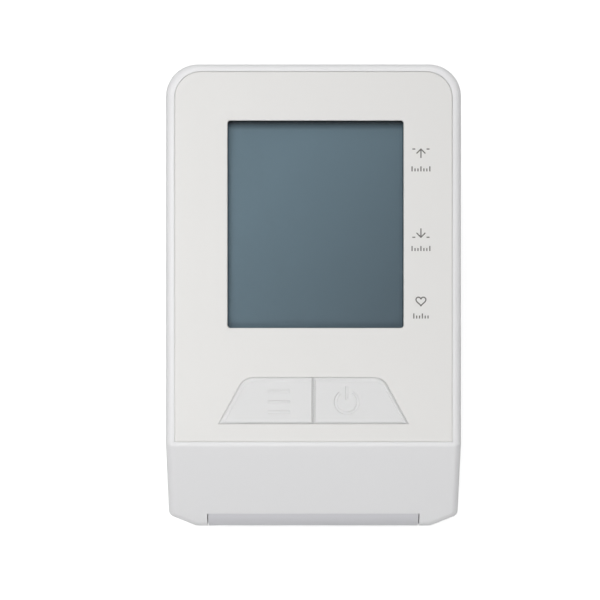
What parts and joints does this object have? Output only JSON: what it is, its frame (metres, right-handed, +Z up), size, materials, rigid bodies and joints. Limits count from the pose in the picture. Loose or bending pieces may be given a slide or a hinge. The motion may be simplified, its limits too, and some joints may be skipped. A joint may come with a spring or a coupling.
{
  "type": "desktop upper-arm blood pressure monitor console",
  "caption": "White desktop blood pressure monitor console with a sloping panel, a large display, keys, a rolled-front battery door, an air socket and a power inlet.",
  "frame": {"origin": "under the middle of the console, on the plane that its feet stand on", "axes": "+Z up, +Y to the rear (the raised end of the panel), -Y to the front edge, +X to the user's right"},
  "size_m": [0.1, 0.1498, 0.0625],
  "materials": {
    "housing_plastic": "fine matte grain, cool white",
    "plate_plastic": "satin, warm white",
    "clear_lens": "clear acrylic, polished",
    "lcd_cell": "grey liquid crystal cell, off",
    "light_plastic": "moulded, natural white",
    "black_rubber": "matte",
    "board_laminate": "green solder mask",
    "black_plastic": "moulded, black",
    "switch_metal": "plain",
    "can_aluminium": "plain can",
    "nylon": "natural nylon",
    "motor_steel": "zinc plated",
    "pump_plastic": "moulded, dark grey",
    "foam": "closed cell foam",
    "valve_plastic": "moulded, buff",
    "hose_silicone": "translucent silicone",
    "port_plastic": "satin grey",
    "contact_metal": "nickel plated",
    "cell_sleeve": "printed film, slate",
    "lead_insulation": "PVC",
    "screw_steel": "zinc plated",
    "foot_rubber": "matte grey"
  },
  "bodies": {
    "console": {"upper_housing": "housing_plastic", "lower_housing": "housing_plastic", "faceplate": "plate_plastic", "display_window": "clear_lens", "lcd_glass": "lcd_cell", "lcd_holder": "light_plastic", "lcd_connectors": "black_rubber", "memory_switch": "black_plastic", "power_switch": "black_plastic", "main_board": "board_laminate", "microcontroller": "black_plastic", "board_chips": "black_plastic", "board_capacitors": "can_aluminium", "board_connectors": "nylon", "buzzer": "black_plastic", "pressure_sensor": "black_plastic", "pump_motor": "motor_steel", "pump_head": "pump_plastic", "pump_sleeve": "foam", "release_valve": "valve_plastic", "bleed_valve": "black_plastic", "air_manifold": "nylon", "pump_hose": "hose_silicone", "valve_hose": "hose_silicone", "sensor_hose": "hose_silicone", "port_hose": "hose_silicone", "air_port": "port_plastic", "port_seal": "black_rubber", "dc_jack": "black_plastic", "jack_pin": "contact_metal", "aa_cells": "cell_sleeve", "spring_contacts": "contact_metal", "plate_contacts": "contact_metal", "motor_leads": "lead_insulation", "valve_leads": "lead_insulation", "battery_leads": "lead_insulation", "case_screws": "screw_steel", "board_screws": "screw_steel", "rubber_feet": "foot_rubber"},
    "memory_key": {"memory_button": "housing_plastic", "memory_plunger": "switch_metal"},
    "power_key": {"power_button": "housing_plastic", "power_plunger": "switch_metal"},
    "battery_cover": {"battery_door": "housing_plastic"}
  },
  "joints": [
    {"name": "memory_key_press", "type": "slide", "parent": "console", "child": "memory_key", "axis": [0, 0.2419, -0.9703], "range_m": [0, 0.0004], "stiffness_N_per_m": 500},
    {"name": "power_key_press", "type": "slide", "parent": "console", "child": "power_key", "axis": [0, 0.2419, -0.9703], "range_m": [0, 0.0004], "stiffness_N_per_m": 500},
    {"name": "battery_cover_slide", "type": "slide", "parent": "console", "child": "battery_cover", "axis": [0, -1, 0], "range_m": [0, 0.06]}
  ]
}
